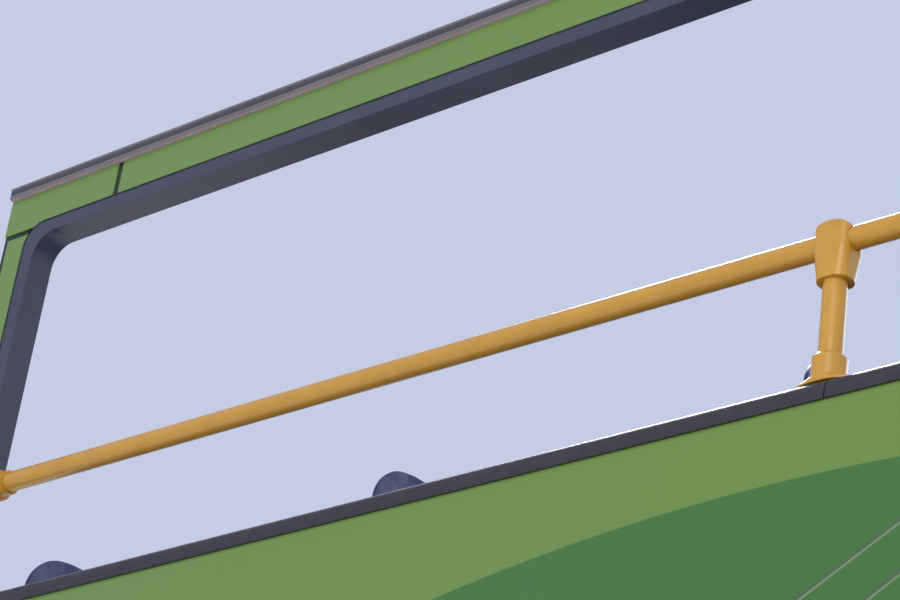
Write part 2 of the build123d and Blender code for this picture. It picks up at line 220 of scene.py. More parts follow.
def new_material(finish, colours):
    """Material named for its finish, which gives the shader's inputs; place is in the bay's own metres."""
    material = bpy.data.materials.new(finish.__name__)
    material.use_nodes = True
    tree = material.node_tree
    tree.nodes.clear()
    add = partial(add_node, tree)
    shader = add("ShaderNodeBsdfPrincipled")
    add("ShaderNodeOutputMaterial", {"Surface": shader})
    place = add("ShaderNodeTexCoord").outputs["Object"]
    set_inputs(shader, finish(add, place, colours))
    return material


# A Mix node of colours takes the share at input 0 and the colours at 6 and 7.
def mottle(add, place, base, shade, size, amount):
    """Colour that drifts from base towards shade in soft patches of the given size."""
    patches = add("ShaderNodeTexNoise", {"Vector": place, "Scale": 1 / size, "Detail": 4})
    share = add("ShaderNodeMapRange", {"Value": patches, "From Min": 0.4, "From Max": 0.7, "To Max": amount})
    return add("ShaderNodeMix", {0: share, 6: base, 7: shade}, data_type="RGBA")


def relief(add, pattern, depth, edge):
    """Bump of the given depth from a pattern, on edges that look rounded to the given radius."""
    rounded = add("ShaderNodeBevel", {"Radius": edge}, samples=4)
    bump = {"Height": pattern, "Distance": depth, "Strength": 1, "Normal": rounded}
    return add("ShaderNodeBump", bump)


def stipple(add, place, size, depth, edge):
    """Irregular stipple of the given size and depth, on edges that look rounded."""
    pattern = add("ShaderNodeTexNoise", {"Vector": place, "Scale": 1 / size, "Detail": 2})
    return relief(add, pattern, depth, edge)


# Sweep on the side panels: the dark green lies inside a large circle seen from the side
SWEEP_CENTRE = (0.0, 0.0, -2.551)
SWEEP_RADIUS = 3.390
SWEEP_EDGE = 0.0008
# colour, middle above the stripe's own line, and half width
STRIPE_BANDS = (("stripe_grey", 0.0027, 0.0026), ("stripe_green", -0.0015, 0.0017))
# a point on each stripe and a second one further forward, along the bus and up
STRIPES = (((0.0035, 0.661), (0.1527, 0.7425)), ((0.109, 0.6415), (0.157, 0.6695)))


def coach_enamel(add, place, colours):
    """Two-pack coach enamel, sprayed: an even gloss with slight orange peel, in two greens."""
    parts = add("ShaderNodeSeparateXYZ", {0: place}).outputs
    side = add("ShaderNodeCombineXYZ", {"X": parts["X"], "Z": parts["Z"]})
    reach = add("ShaderNodeVectorMath", {0: side, 1: SWEEP_CENTRE}, operation="DISTANCE")
    edge = {"From Min": SWEEP_RADIUS + SWEEP_EDGE, "From Max": SWEEP_RADIUS - SWEEP_EDGE}
    inside = add("ShaderNodeMapRange", {"Value": reach, **edge})
    greens = {0: inside, 6: colours.light_green, 7: colours.dark_green}
    colour = add("ShaderNodeMix", greens, data_type="RGBA")
    for first, second in STRIPES:
        rise = Vector((second[0] - first[0], 0, second[1] - first[1])).normalized()
        across = Vector((-rise.z, 0, rise.x))
        line = across.dot(Vector((first[0], 0, first[1])))
        offset = add("ShaderNodeVectorMath", {0: side, 1: across}, operation="DOT_PRODUCT")
        for name, middle, half_width in STRIPE_BANDS:
            band = {0: offset, 1: line + middle, 2: half_width}
            on_band = add("ShaderNodeMath", band, operation="COMPARE")
            shown = add("ShaderNodeMath", {0: on_band, 1: inside}, operation="MULTIPLY")
            ends = {0: shown, 6: colour, 7: getattr(colours, name)}
            colour = add("ShaderNodeMix", ends, data_type="RGBA")
    # road dust: a faint grey veil, denser towards the lower edge
    dust = add("ShaderNodeTexNoise", {"Vector": place, "Scale": 1 / 0.25, "Detail": 5})
    fall = {"From Min": 0.45, "From Max": 0, "To Min": 0.05, "To Max": 0.3}
    low = add("ShaderNodeMapRange", {"Value": parts["Z"], **fall})
    veil = add("ShaderNodeMath", {0: dust, 1: low}, operation="MULTIPLY")
    return {
        "Base Color": add("ShaderNodeMix", {0: veil, 6: colour, 7: "#8d8f7c"}, data_type="RGBA"),
        "IOR": 1.5,
        "Roughness": 0.34,
        "Coat Weight": 0.3,
        "Coat Roughness": 0.15,
        "Normal": stipple(add, place, 0.004, 0.00002, 0.0012),
    }


def amber_powder_coat(add, place, colours):
    """Polyester powder coat on steel tube: warm amber, satin, with a fine stipple and a few dull rubs."""
    base = mottle(add, place, colours.amber, "#ba8629", 0.05, 0.35)
    dull = add("ShaderNodeTexNoise", {"Vector": place, "Scale": 1 / 0.03, "Detail": 3})
    return {
        "Base Color": base,
        "IOR": 1.52,
        "Roughness": add("ShaderNodeMapRange", {"Value": dull, "To Min": 0.3, "To Max": 0.48}),
        "Coat Weight": 0.45,
        "Coat Roughness": 0.2,
        "Normal": stipple(add, place, 0.0018, 0.00003, 0.0015),
    }


# the paler crown, partly chalky bloom and partly painted light on the rounded crown, starts this far up the
# capping, in metres, and reaches this share at the top
BLOOM_AND_LIGHT_START = 0.025
BLOOM_AND_LIGHT_SHARE = 0.35


def capping_rubber(add, place, colours):
    """Extruded EPDM capping: charcoal, matt, with a pebbled grain and a paler crown, partly chalky bloom and
    partly painted light where the rounded crown faces the sky.
    """
    base = mottle(add, place, colours.capping, "#3c3a43", 0.02, 0.5)
    height = add("ShaderNodeSeparateXYZ", {0: place}).outputs["Z"]
    rise = {"From Min": capping_box[0].z + BLOOM_AND_LIGHT_START, "From Max": capping_box[1].z, "To Max": BLOOM_AND_LIGHT_SHARE}
    crown = add("ShaderNodeMapRange", {"Value": height, **rise})
    # wear polishes the crown, which then catches a bright line
    polish = {"Value": crown, "From Max": BLOOM_AND_LIGHT_SHARE, "To Min": 0.58, "To Max": 0.3}
    return {
        # partly bloom and partly painted light: the colour turns paler grey up the rounded crown
        "Base Color": add("ShaderNodeMix", {0: crown, 6: base, 7: "#5a5860"}, data_type="RGBA"),
        "IOR": 1.48,
        "Roughness": add("ShaderNodeMapRange", polish),
        "Normal": stipple(add, place, 0.0022, 0.00012, 0.001),
    }


def anthracite_powder_coat(add, place, colours):
    """Powder coated aluminium extrusion: blue grey anthracite with a fine satin texture."""
    base = mottle(add, place, colours.anthracite, "#464b60", 0.12, 0.4)
    normal = stipple(add, place, 0.0015, 0.00003, 0.0015)
    return {"Base Color": base, "IOR": 1.52, "Roughness": 0.42, "Normal": normal}


def anodised_aluminium(add, place, colours):
    """Anodised aluminium extrusion: soft metal sheen with fine die lines along its length, and a warm pink
    tint that is a painted reflection of warm light.
    """
    drawn = add("ShaderNodeMapping", {"Vector": place, "Scale": (3, 600, 600)})
    lines = add("ShaderNodeTexNoise", {"Vector": drawn, "Scale": 1, "Detail": 2})
    return {
        "Base Color": mottle(add, place, colours.aluminium, "#7d7576", 0.15, 0.5),
        "Metallic": 0.9,
        "Roughness": add("ShaderNodeMapRange", {"Value": lines, "To Min": 0.34, "To Max": 0.5}),
        "Normal": relief(add, lines, 0.00002, 0.0015),
    }


def moulded_polypropylene(add, place, colours):
    """Injection moulded polypropylene: blue, with a spark-eroded grain, pale rubs and sat-on sheen."""
    # years of use leave glossier patches between duller ones
    rubs = add("ShaderNodeTexNoise", {"Vector": place, "Scale": 1 / 0.06, "Detail": 5})
    worn = {"Value": rubs, "From Min": 0.35, "From Max": 0.65, "To Min": 0.4, "To Max": 0.62}
    pits = add("ShaderNodeTexVoronoi", {"Vector": place, "Scale": 1 / 0.0014})
    return {
        "Base Color": mottle(add, place, colours.shell_blue, "#37437c", 0.05, 0.35),
        "IOR": 1.49,
        "Specular IOR Level": 0.3,
        "Roughness": add("ShaderNodeMapRange", worn),
        "Normal": relief(add, pits, 0.00005, 0.0025),
    }


def seat_vinyl(add, place, colours):
    """Knit-backed PVC upholstery: dark blue with a leather grain, softly shiny where it is sat on."""
    polish = add("ShaderNodeTexNoise", {"Vector": place, "Scale": 1 / 0.09, "Detail": 3})
    grain = {"Vector": place, "Scale": 1 / 0.0026}
    creases = add("ShaderNodeTexVoronoi", grain, feature="DISTANCE_TO_EDGE")
    valleys = add("ShaderNodeMapRange", {"Value": creases, "From Max": 0.12})
    return {
        "Base Color": mottle(add, place, colours.pad_blue, "#2d3870", 0.07, 0.5),
        "IOR": 1.53,
        "Roughness": add("ShaderNodeMapRange", {"Value": polish, "To Min": 0.36, "To Max": 0.6}),
        "Sheen Weight": 0.08,
        "Sheen Roughness": 0.4,
        "Normal": relief(add, valleys, 0.00018, 0.001),
    }


def polyester_thread(add, place, colours):
    """Bonded polyester thread: paler than the vinyl, with the twist as a fine ripple."""
    base = mottle(add, place, colours.thread, "#5a68a0", 0.004, 0.8)
    normal = stipple(add, place, 0.0006, 0.00008, 0.0002)
    return {"Base Color": base, "IOR": 1.57, "Roughness": 0.55, "Sheen Weight": 0.2, "Normal": normal}


def birch_plywood(add, place, colours):
    """Sealed birch plywood: long pale grain with darker growth lines, and a thin clear sealer."""
    drawn = add("ShaderNodeMapping", {"Vector": place, "Scale": (2.5, 45, 45)})
    figure = add("ShaderNodeTexNoise", {"Vector": drawn, "Scale": 1, "Detail": 6, "Distortion": 0.6})
    growth = add("ShaderNodeMapRange", {"Value": figure, "From Min": 0.38, "From Max": 0.62})
    return {
        "Base Color": add("ShaderNodeMix", {0: growth, 6: colours.plywood, 7: "#8f6b40"}, data_type="RGBA"),
        "Roughness": 0.5,
        "Coat Weight": 0.15,
        "Normal": relief(add, figure, 0.00015, 0.0008),
    }


def safety_vinyl(add, place, colours):
    """Safety floor vinyl: dark grey, with pale and dark quartz flecks and a gritty surface."""
    base = mottle(add, place, colours.floor_grey, "#66686a", 0.2, 0.5)
    fleck = bpy.context.scene.deck_bay_sizes.fleck_size
    grit = add("ShaderNodeTexVoronoi", {"Vector": place, "Scale": 1 / fleck}).outputs
    near = add("ShaderNodeMapRange", {"Value": grit["Distance"], "From Min": 0.22, "From Max": 0.16})
    tone = add("ShaderNodeMix", {0: grit["Color"], 6: "#1f2022", 7: "#b9bab8"}, data_type="RGBA")
    return {
        "Base Color": add("ShaderNodeMix", {0: near, 6: base, 7: tone}, data_type="RGBA"),
        "IOR": 1.53,
        "Roughness": 0.62,
        "Normal": relief(add, near, 0.00015, 0.0008),
    }


def wall_laminate(add, place, colours):
    """High-pressure laminate: pale grey with a faint crystal texture and scuffs near the floor."""
    base = mottle(add, place, colours.lining_grey, "#bfc1bf", 0.3, 0.6)
    height = add("ShaderNodeSeparateXYZ", {0: place}).outputs["Z"]
    fall = {"Value": height, "From Min": 0.5, "From Max": floor_top, "To Max": 0.6}
    low = add("ShaderNodeMapRange", fall)
    drawn = add("ShaderNodeMapping", {"Vector": place, "Scale": (14, 14, 90)})
    marks = add("ShaderNodeTexNoise", {"Vector": drawn, "Scale": 1, "Detail": 5})
    dark = add("ShaderNodeMapRange", {"Value": marks, "From Min": 0.56, "From Max": 0.7})
    scuffs = add("ShaderNodeMath", {0: dark, 1: low}, operation="MULTIPLY")
    return {
        "Base Color": add("ShaderNodeMix", {0: scuffs, 6: base, 7: "#7f8180"}, data_type="RGBA"),
        "IOR": 1.55,
        "Roughness": 0.36,
        "Normal": stipple(add, place, 0.001, 0.00003, 0.0008),
    }


def chassis_enamel(add, place, colours):
    """Brushed chassis enamel: near black grey, half gloss, with brush marks and light road film."""
    base = mottle(add, place, colours.chassis, "#55514a", 0.08, 0.35)
    return {"Base Color": base, "Roughness": 0.46, "Normal": stipple(add, place, 0.003, 0.00006, 0.0025)}


def textured_seat_coat(add, place, colours):
    """Textured polyester coat on seat castings and tubes: dark grey with an even stipple."""
    base = mottle(add, place, colours.seat_metal, "#5b5d61", 0.05, 0.4)
    normal = stipple(add, place, 0.0016, 0.00008, 0.003)
    return {"Base Color": base, "IOR": 1.52, "Roughness": 0.5, "Normal": normal}


def seal_rubber(add, place, colours):
    """Cellular EPDM rubber: near black and matt, with a slight skin texture."""
    base = mottle(add, place, colours.rubber, "#34353a", 0.01, 0.5)
    normal = stipple(add, place, 0.001, 0.00004, 0.0004)
    return {"Base Color": base, "IOR": 1.48, "Roughness": 0.72, "Normal": normal}


def polyurethane_sealant(add, place, colours):
    """Gunned polyurethane sealant: warm grey with a satin skin, dirt in patches and slow tooling waves; its
    pale tone is painted light over the gutter's shaded underside.
    """
    base = mottle(add, place, colours.sealant, "#8d7c80", 0.06, 0.5)
    normal = stipple(add, place, 0.01, 0.0002, 0.0008)
    return {"Base Color": base, "IOR": 1.49, "Roughness": 0.5, "Normal": normal}


def zinc_plate(add, place, colours):
    """Zinc plated steel: cool metal with a faint yellow passivation in patches."""
    base = mottle(add, place, colours.zinc, "#a39a7c", 0.006, 0.7)
    normal = stipple(add, place, 0.0012, 0.00002, 0.0005)
    return {"Base Color": base, "Metallic": 1, "Roughness": 0.34, "Normal": normal}


def stage_floor(add, place, colours):
    """Matt studio floor: one pale colour all over, on which only shadows show."""
    return {"Base Color": colours.floor_stage, "Roughness": 0.9}


# finish's name, then its material and the record's slot that it belongs to
FINISHES = {}
# slot of the record, then the finish of its CAD nodes and of the pieces made here
SLOT_FINISHES = (
    ("green_paint", coach_enamel),
    ("lining_laminate", wall_laminate),
    ("charcoal_capping", capping_rubber),
    ("frame_paint", chassis_enamel),
    ("window_frame_coat", anthracite_powder_coat),
    ("gutter_aluminium", anodised_aluminium),
    ("amber_coat", amber_powder_coat),
    ("deck_plywood", birch_plywood),
    ("floor_vinyl", safety_vinyl),
    ("seat_shell_plastic", moulded_polypropylene),
    ("seat_pad_vinyl", seat_vinyl),
    ("seat_frame_coat", textured_seat_coat),
)
# finishes of small pieces alone, with the slot that each is counted in
SMALL_FINISHES = (
    ("thread", polyester_thread, "seat_pad_vinyl"),
    ("rubber", seal_rubber, "charcoal_capping"),
    ("sealant", polyurethane_sealant, "charcoal_capping"),
    ("zinc", zinc_plate, "gutter_aluminium"),
)


def put_in_scene(name, data):
    """Object that shows the given data, linked into the scene."""
    item = bpy.data.objects.new(name, data)
    bpy.context.scene.collection.objects.link(item)
    return item


def finish_piece(name, mesh, finish, smooth):
    """Object of a finished mesh, shaded, given its finish and carried by the bay."""
    material, slot_name = FINISHES[finish]
    piece = put_in_scene(name, mesh)
    mesh.materials.clear()
    mesh.materials.append(material)
    mesh.polygons.foreach_set("material_index", [0] * len(mesh.polygons))
    mesh.polygons.foreach_set("use_smooth", [smooth] * len(mesh.polygons))
    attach(piece, "root")
    return piece


def mesh_of(shape, name):
    """Mesh of a bmesh, with its faces turned outwards."""
    bmesh.ops.recalc_face_normals(shape, faces=shape.faces)
    mesh = bpy.data.meshes.new(name)
    shape.to_mesh(mesh)
    shape.free()
    return mesh


def add_skin(shape, loops):
    """Closed skin over loops that have as many points each, one behind the other."""
    rings = [[shape.verts.new(point) for point in loop] for loop in loops]
    shape.faces.new(rings[0])
    shape.faces.new(rings[-1][::-1])
    for near, far in zip(rings, rings[1:]):
        for here in range(len(near)):
            after = (here + 1) % len(near)
            shape.faces.new((near[after], near[here], far[here], far[after]))


def side_strips(name, section, finish, inset):
    """Strip along each side that ends short of the bay by the inset; its section is places across and up."""
    shape = bmesh.new()
    for side in SIDES:
        ends = (inset - half_length, half_length - inset)
        add_skin(shape, [[(place, side * across, up) for across, up in section] for place in ends])
    finish_piece(name, mesh_of(shape, name), finish, False)


def evaluated_mesh(carrier):
    """Plain mesh of an object with its modifiers, after which the object goes."""
    graph = bpy.context.evaluated_depsgraph_get()
    mesh = bpy.data.meshes.new_from_object(carrier.evaluated_get(graph))
    bpy.data.objects.remove(carrier)
    return mesh


def bead_mesh(paths, radius, cyclic):
    """Mesh of round beads along the given paths."""
    curve = bpy.data.curves.new("bead", "CURVE")
    curve.dimensions = "3D"
    curve.bevel_depth = radius
    curve.bevel_resolution = 2
    curve.use_fill_caps = not cyclic
    for path in paths:
        spline = curve.splines.new("POLY")
        spline.points.add(len(path) - 1)
        spline.use_cyclic_u = cyclic
        spline.use_smooth = True
        for point, place in zip(spline.points, path):
            point.co = (*place, 1)
    mesh = evaluated_mesh(put_in_scene("bead", curve))
    bpy.data.curves.remove(curve)
    return mesh


def arc(centre, radius, start, stop, steps):
    """Points on an arc, as pairs, from one angle to another in degrees."""
    angles = [radians(start + (stop - start) * step / steps) for step in range(steps + 1)]
    return [(centre[0] + radius * cos(angle), centre[1] + radius * sin(angle)) for angle in angles]


def rounded_square(half, corner):
    """Outline of a square with rounded corners round the origin."""
    inner = half - corner
    corners = ((inner, inner, 0), (-inner, inner, 90), (-inner, -inner, 180), (inner, -inner, 270))
    return [point for x, y, turn in corners for point in arc((x, y), corner, turn, turn + 90, 5)]


def open_tree(name, sockets, output):
    """Geometry Nodes tree with named inputs, a material's among them; its node adder and what is given."""
    tree = bpy.data.node_groups.new(name, "GeometryNodeTree")
    for title, kind in (*sockets, ("Material", "Material")):
        tree.interface.new_socket(title, in_out="INPUT", socket_type=f"NodeSocket{kind}")
    tree.interface.new_socket(output, in_out="OUTPUT", socket_type="NodeSocketGeometry")
    add = partial(add_node, tree)
    return tree, add, add("NodeGroupInput").outputs


def close_tree(add, given, copies):
    """Ends a tree: the copies are placed on the points, made real and given their material."""
    placed = add("GeometryNodeInstanceOnPoints", copies)
    real = add("GeometryNodeRealizeInstances", {"Geometry": placed})
    coat = {"Geometry": real, "Material": given["Material"]}
    add("NodeGroupOutput", {0: add("GeometryNodeSetMaterial", coat)})


# A bolt's washer: its sides, its radius and thickness as shares of the head's, and the head's rise on
# it; then the rings of a dome's ball
WASHER_SIDES = 20
WASHER_REACH = 1.45
WASHER_THICKNESS = 0.4
HEAD_RISE = 0.6
DOME_RINGS = 6


def fastener_tree(name, dome):
    """Geometry Nodes tree: a dome rivet, or a hexagon head on a washer, on each point, facing its way."""
    heads = (("Head Radius", "Float"), ("Head Height", "Float"), ("Head Sides", "Int"))
    tree, add, given = open_tree(name, (("Places", "Geometry"), *heads), "Fasteners")
    radius, height, sides = (given[title] for title, kind in heads)
    if dome:
        ball = add("GeometryNodeMeshUVSphere", {"Segments": sides, "Rings": DOME_RINGS, "Radius": radius})
        flat = add("ShaderNodeMath", {0: height, 1: radius}, operation="DIVIDE")
        squashed = add("ShaderNodeCombineXYZ", {"X": 1, "Y": 1, "Z": flat})
        head = add("GeometryNodeTransform", {"Geometry": ball, "Scale": squashed})
    else:
        hexagon = add("GeometryNodeMeshCylinder", {"Vertices": sides, "Radius": radius, "Depth": height})
        wide = add("ShaderNodeMath", {0: radius, 1: WASHER_REACH}, operation="MULTIPLY")
        thin = add("ShaderNodeMath", {0: height, 1: WASHER_THICKNESS}, operation="MULTIPLY")
        washer = add("GeometryNodeMeshCylinder", {"Vertices": WASHER_SIDES, "Radius": wide, "Depth": thin})
        raised = add("ShaderNodeMath", {0: height, 1: HEAD_RISE}, operation="MULTIPLY")
        rise = add("ShaderNodeCombineXYZ", {"Z": raised})
        lifted = add("GeometryNodeTransform", {"Geometry": hexagon, "Translation": rise})
        head = add("GeometryNodeJoinGeometry", {"Geometry": lifted})
        set_inputs(head, {"Geometry": washer})
    facing = add("GeometryNodeInputNamedAttribute", {"Name": "facing"}, data_type="FLOAT_VECTOR")
    turned = add("FunctionNodeAlignRotationToVector", {"Vector": facing}, axis="Z")
    close_tree(add, given, {"Points": given["Places"], "Instance": head, "Rotation": turned})
    return tree


# A stitch: its length as a share of the pitch, and the sides of its thread
STITCH_SHARE = 0.72
THREAD_SIDES = 6


def stitch_tree():
    """Geometry Nodes tree: a short length of thread at each stitch along the seams, which are edges."""
    sockets = (("Seams", "Geometry"), ("Pitch", "Float"), ("Thread Radius", "Float"))
    tree, add, given = open_tree("stitches_along_seams", sockets, "Stitches")
    lines = add("GeometryNodeMeshToCurve", {"Mesh": given["Seams"]})
    steps = {"Curve": lines, "Length": given["Pitch"]}
    points = add("GeometryNodeCurveToPoints", steps, mode="LENGTH").outputs
    long = add("ShaderNodeMath", {0: given["Pitch"], 1: STITCH_SHARE}, operation="MULTIPLY")
    shape = {"Vertices": THREAD_SIDES, "Radius": given["Thread Radius"], "Depth": long}
    thread = add("GeometryNodeMeshCylinder", shape)
    close_tree(add, given, {"Points": points["Points"], "Instance": thread, "Rotation": points["Rotation"]})
    return tree


def run_tree(mesh, tree, values, finish):
    """Plain mesh that a Geometry Nodes tree makes from a mesh, with its named inputs and its finish set."""
    values = {**values, "Material": FINISHES[finish][0]}
    carrier = put_in_scene(mesh.name, mesh)
    modifier = carrier.modifiers.new(tree.name, "NODES")
    modifier.node_group = tree
    for item in tree.interface.items_tree:
        if item.in_out == "INPUT" and item.name in values:
            modifier[item.identifier] = values[item.name]
    made = evaluated_mesh(carrier)
    bpy.data.meshes.remove(mesh)
    return made


def add_fasteners(name, dome, places, radius, height, sides, finish):
    """Piece of like fasteners; each place is a point and the way that its head faces."""
    mesh = bpy.data.meshes.new(name)
    mesh.from_pydata([point for point, facing in places], [], [])
    ways = mesh.attributes.new("facing", "FLOAT_VECTOR", "POINT")
    ways.data.foreach_set("vector", [part for point, facing in places for part in facing])
    values = {"Head Radius": radius, "Head Height": height, "Head Sides": sides}
    finish_piece(name, run_tree(mesh, fastener_tree(name, dome), values, finish), finish, dome)


# Pads before they fill: how far their corners are rounded in and how sharply, the heights of their top
# and of a sewn channel as shares of the thickness, and the cloth's pressure and time
CORNER_PULL = 0.014
CORNER_POWER = 9
BLANK_HEIGHT = 0.6
CHANNEL_HEIGHT = 0.36
PAD_PRESSURE = 4
PAD_FRAMES = 20
# a point of a pad below the first height belongs to its flat underside; no point reaches the second
FLAT_HEIGHT = 0.0002
CLEAR_HEIGHT = 0.1


def pad_point(along, across, half_along):
    """Place on a pad from shares of its half length and half width; the corners are rounded in."""
    return (
        along * (half_along - CORNER_PULL * abs(across) ** CORNER_POWER),
        across * (PAD_HALF_WIDTH - EDGE_ROOM - CORNER_PULL * abs(along) ** CORNER_POWER),
    )


def pad_blank(name, half_along, thickness, channels, cell):
    """Low closed pad before it fills, with the numbers of its held points and of those round its top."""
    shape = bmesh.new()
    steps_along = round(2 * half_along / cell)
    steps_across = round(2 * PAD_HALF_WIDTH / cell)
    channel_steps = [round(share * steps_along) for share in channels]
    low = {}
    top = {}
    for step in range(steps_along + 1):
        for place in range(steps_across + 1):
            along = 2 * step / steps_along - 1
            across = 2 * place / steps_across - 1
            x, y = pad_point(along, across, half_along - EDGE_ROOM)
            low[step, place] = shape.verts.new((x, y, 0))
            height = thickness * (CHANNEL_HEIGHT if step in channel_steps else BLANK_HEIGHT)
            top[step, place] = shape.verts.new((x, y, height))
    for step in range(steps_along):
        for place in range(steps_across):
            square = ((step, place), (step + 1, place), (step + 1, place + 1), (step, place + 1))
            shape.faces.new([top[key] for key in square])
            shape.faces.new([low[key] for key in square[::-1]])
    rim = [(step, 0) for step in range(steps_along)]
    rim += [(steps_along, place) for place in range(steps_across)]
    rim += [(step, steps_across) for step in range(steps_along, 0, -1)]
    rim += [(0, place) for place in range(steps_across, 0, -1)]
    for here, after in zip(rim, rim[1:] + rim[:1]):
        shape.faces.new((low[here], low[after], top[after], top[here]))
    shape.verts.index_update()
    held = [vert.index for vert in low.values()]
    held += [vert.index for key, vert in top.items() if key[0] in channel_steps]
    around = [top[key].index for key in rim]
    return mesh_of(shape, name), held, around


def filled_pad(blank, held, limit):
    """Pad blown up as cloth, then smoothed: its points move as the cloth did, at most by the limit."""
    scene = bpy.context.scene
    pad = put_in_scene(blank.name, blank)
    pad.vertex_groups.new(name="held").add(held, 1, "REPLACE")
    cloth = pad.modifiers.new("cloth", "CLOTH")
    cloth.settings.vertex_group_mass = "held"
    cloth.settings.use_pressure = True
    cloth.settings.uniform_pressure_force = PAD_PRESSURE
    cloth.settings.effector_weights.gravity = 0
    cloth.point_cache.frame_start = 1
    cloth.point_cache.frame_end = PAD_FRAMES
    for moment in range(1, PAD_FRAMES + 1):
        scene.frame_set(moment)
    swollen = pad.evaluated_get(bpy.context.evaluated_depsgraph_get()).data
    moves = [after.co - before.co for after, before in zip(swollen.vertices, blank.vertices)]
    share = min(1, limit / max(move.length for move in moves))
    scene.frame_set(1)
    pad.modifiers.remove(cloth)
    for vert, move in zip(blank.vertices, moves):
        vert.co += share * move
    smoothing = pad.modifiers.new("smoothing", "SUBSURF")
    smoothing.levels = smoothing.render_levels = 1
    return evaluated_mesh(pad)


def without_underside(mesh):
    """Pad with its flat underside as one face, which nobody sees."""
    shape = bmesh.new()
    shape.from_mesh(mesh)
    flat = [face for face in shape.faces if all(vert.co.z < FLAT_HEIGHT for vert in face.verts)]
    bmesh.ops.dissolve_faces(shape, faces=flat)
    shape.to_mesh(mesh)
    shape.free()


def on_pad(tree, path):
    """Points of a flat path laid on the pad's upper surface."""
    laid = []
    for x, y in path:
        hit = tree.ray_cast(Vector((x, y, CLEAR_HEIGHT)), Vector((0, 0, -1)))[0]
        if hit is None:
            raise RuntimeError("a seam runs off its pad")
        laid.append(hit)
    return laid


def edge_mesh(paths, name):
    """Mesh of edges only; each path comes with whether it closes on itself."""
    points = []
    edges = []
    for path, closed in paths:
        first = len(points)
        points += [tuple(point) for point in path]
        edges += [(first + step, first + step + 1) for step in range(len(path) - 1)]
        if closed:
            edges.append((len(points) - 1, first))
    mesh = bpy.data.meshes.new(name)
    mesh.from_pydata(points, edges, [])
    return mesh


def joined_copies(mesh, places, shape):
    """Adds a copy of a mesh at each place to a bmesh."""
    for place in places:
        copy = mesh.copy()
        copy.transform(place)
        shape.from_mesh(copy)
        bpy.data.meshes.remove(copy)


def seat_places(row_place, middle, along, out):
    """Matrices that put a pad's own frame on each seat of a row."""
    across = out.cross(along)
    turn = Matrix((along, across, out)).transposed().to_4x4()
    return [
        Matrix.Translation((row_place + middle.x, side * line, middle.z)) @ turn
        for side in SIDES
        for line in SEAT_LINES
    ]


class DECKBAY_OT_finishes(bpy.types.Operator):
    """Gives each part of the model its finish"""

    bl_idname = "deck_bay.finishes"
    bl_label = "Finishes"

    def execute(self, context):
        colours = context.scene.deck_bay_colours
        for slot_name, make in SLOT_FINISHES:
            FINISHES[slot_name] = (new_material(make, colours), slot_name)
        for name, make, slot_name in SMALL_FINISHES:
            FINISHES[name] = (new_material(make, colours), slot_name)
        for subpart in frame["record"]["subparts"]:
            mesh = frame["nodes"][subpart["node"]].data
            mesh.materials.clear()
            mesh.materials.append(FINISHES[subpart["material_slot"]][0])
        return {"FINISHED"}


# Seams across a pad: room at their ends, distance from the channel's middle, and steps along them
SEAM_END = 0.004
SEAM_OFFSET = 0.0055
SEAM_STEPS = 30


class DECKBAY_OT_seat_pads(bpy.types.Operator):
    """Fills the seat pads as cloth and sews piping and stitches on them"""

    bl_idname = "deck_bay.seat_pads"
    bl_label = "Seat pads"

    def execute(self, context):
        sizes = context.scene.deck_bay_sizes
        made = []
        for name, middle, along, out, half_along, thickness, channels in PADS:
            blank, held, around = pad_blank(name, half_along, thickness, channels, sizes.pad_cell)
            pad = filled_pad(blank, held, sizes.pad_swell)
            shape = bmesh.new()
            shape.from_mesh(pad)
            surface = BVHTree.FromBMesh(shape)
            shape.free()
            rim = [pad.vertices[number].co.copy() for number in around]
            welt = bead_mesh([rim], sizes.welt_radius, True)
            inset = 1 - sizes.stitch_inset / PAD_HALF_WIDTH
            inset_along = 1 - sizes.stitch_inset / half_along
            ring = [(point.x * inset_along, point.y * inset) for point in rim]
            seams = [(on_pad(surface, ring), True)]
            reach = PAD_HALF_WIDTH - sizes.stitch_inset - SEAM_END
            for share in channels:
                for offset in (-SEAM_OFFSET, SEAM_OFFSET):
                    line = (2 * share - 1) * half_along + offset
                    run = [(line, reach * (2 * step / SEAM_STEPS - 1)) for step in range(SEAM_STEPS + 1)]
                    seams.append((on_pad(surface, run), False))
            without_underside(pad)
            made.append((pad, welt, seams, middle, along, out))
        tree = stitch_tree()
        for row, row_place in enumerate(ROW_PLACES, 1):
            pads = bmesh.new()
            welts = bmesh.new()
            lines = []
            for pad, welt, seams, middle, along, out in made:
                places = seat_places(row_place, middle, along, out)
                joined_copies(pad, places, pads)
                joined_copies(welt, places, welts)
                for place in places:
                    lines += [([place @ point for point in path], closed) for path, closed in seams]
            name = f"seat_upholstery_row_{row}"
            piece = finish_piece(name, mesh_of(pads, name), "seat_pad_vinyl", True)
            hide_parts(f"seat_pads_row_{row}")
            name = f"seat_piping_row_{row}"
            finish_piece(name, mesh_of(welts, name), "seat_pad_vinyl", True)
            name = f"seat_stitches_row_{row}"
            values = {"Pitch": sizes.stitch_pitch, "Thread Radius": sizes.thread_radius}
            finish_piece(name, run_tree(edge_mesh(lines, name), tree, values, "thread"), "thread", False)
        return {"FINISHED"}


# Bead round a window frame: how far its middle lies behind the skin's face, how far its legs run down
# beside the capping, and its steps round a corner
SEAL_DEPTH = 0.0019
SEAL_LEG = 0.013
CORNER_STEPS = 10


